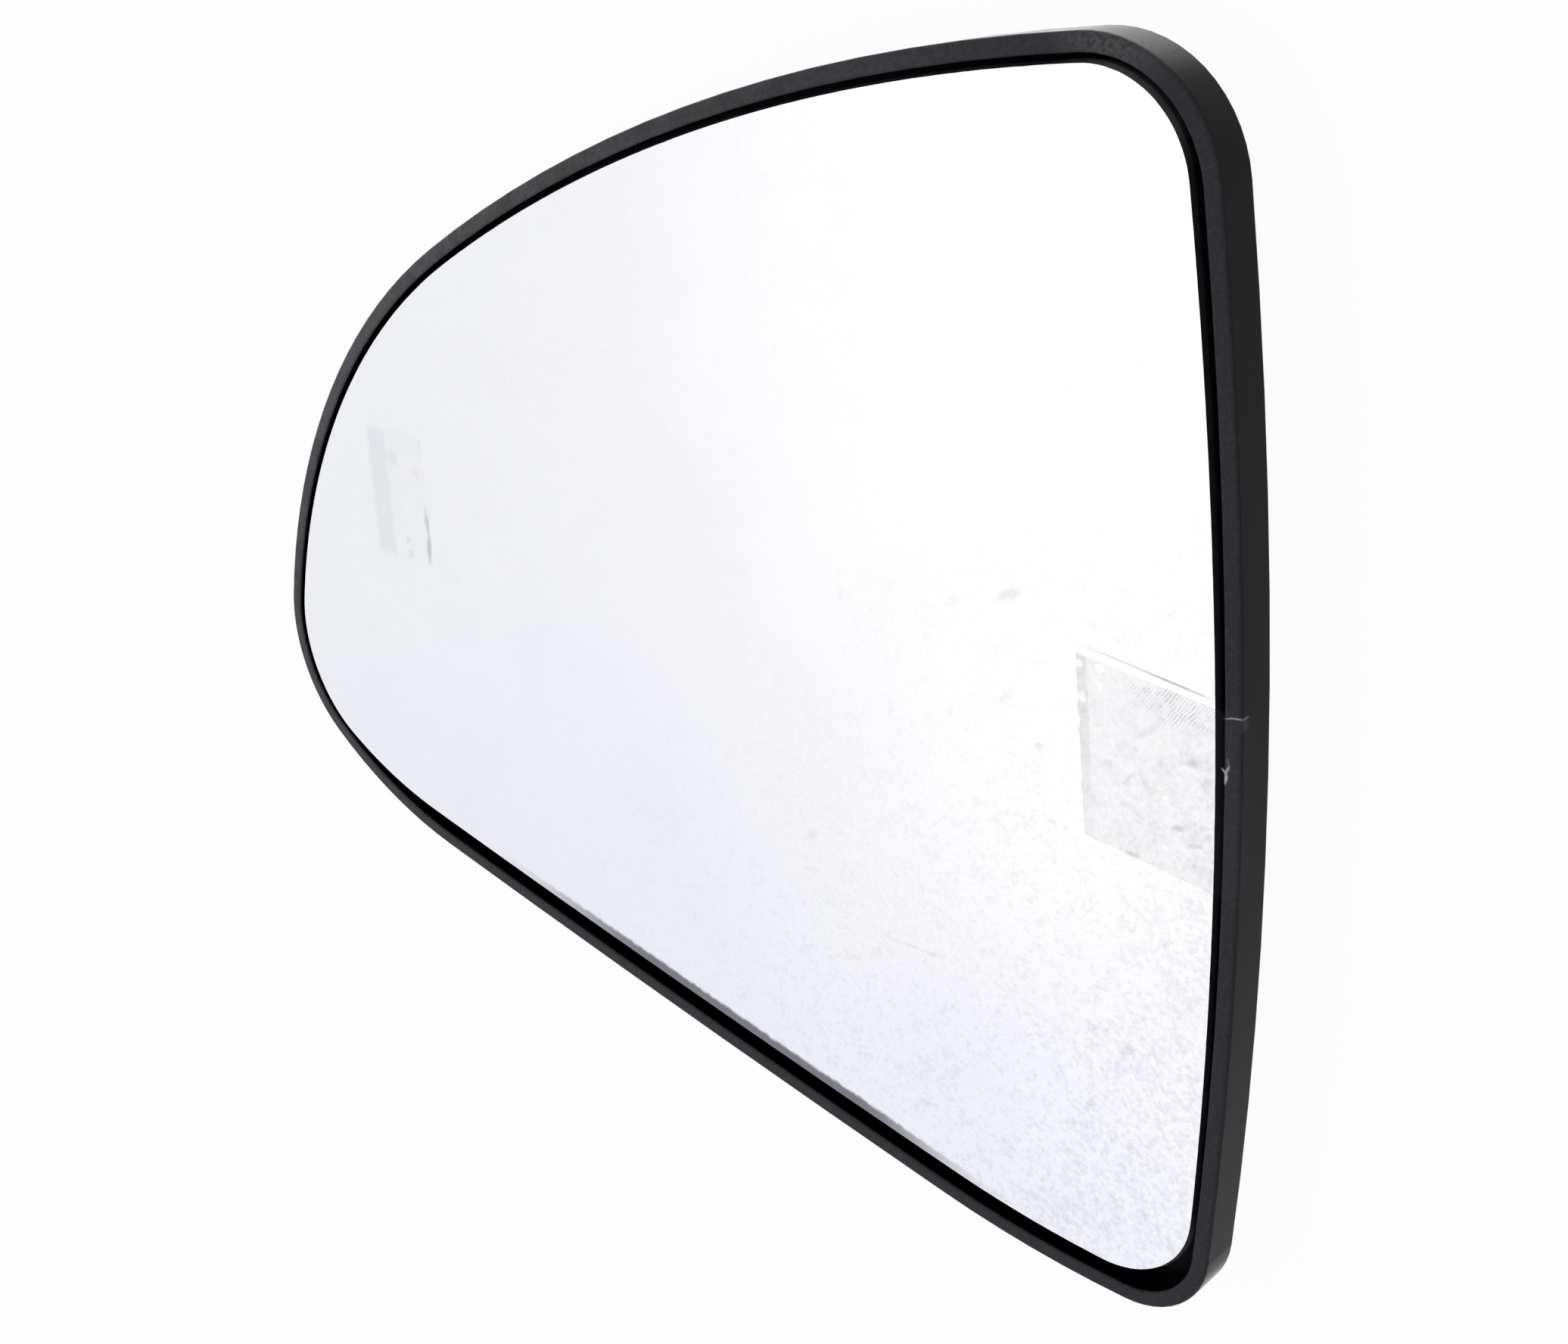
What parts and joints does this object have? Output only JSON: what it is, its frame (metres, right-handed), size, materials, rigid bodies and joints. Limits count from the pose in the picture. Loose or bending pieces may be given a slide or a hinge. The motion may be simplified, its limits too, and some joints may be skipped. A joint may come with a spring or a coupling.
{
  "type": "car door mirror glass",
  "caption": "Flat mirror glass of a car's door mirror, seated with a foam pad in a black rimmed backing plate whose rear ring clips onto the mirror's actuator.",
  "frame": {"origin": "on the axis of the clip ring, in the plane of the ring's rear face, which the part rests on", "axes": "+Z the way the mirror glass faces, away from the actuator; +Y up as the glass hangs in the door mirror; +X to the right as seen from in front, away from the glass's nose"},
  "size_m": [0.1817, 0.1426, 0.0117],
  "materials": {
    "black_plastic": "fine moulded grain, semi-matt",
    "foam": "closed-cell foam, matt",
    "mirror": "polished, with a fine ground bevel at its edge",
    "clear_tape": "clear film, slightly wrinkled"
  },
  "bodies": {
    "root": {"backing_plate": "black_plastic", "adhesive_pad": "foam", "mirror_glass": "mirror", "side_tape": "clear_tape", "nose_tape": "clear_tape"}
  },
  "joints": []
}
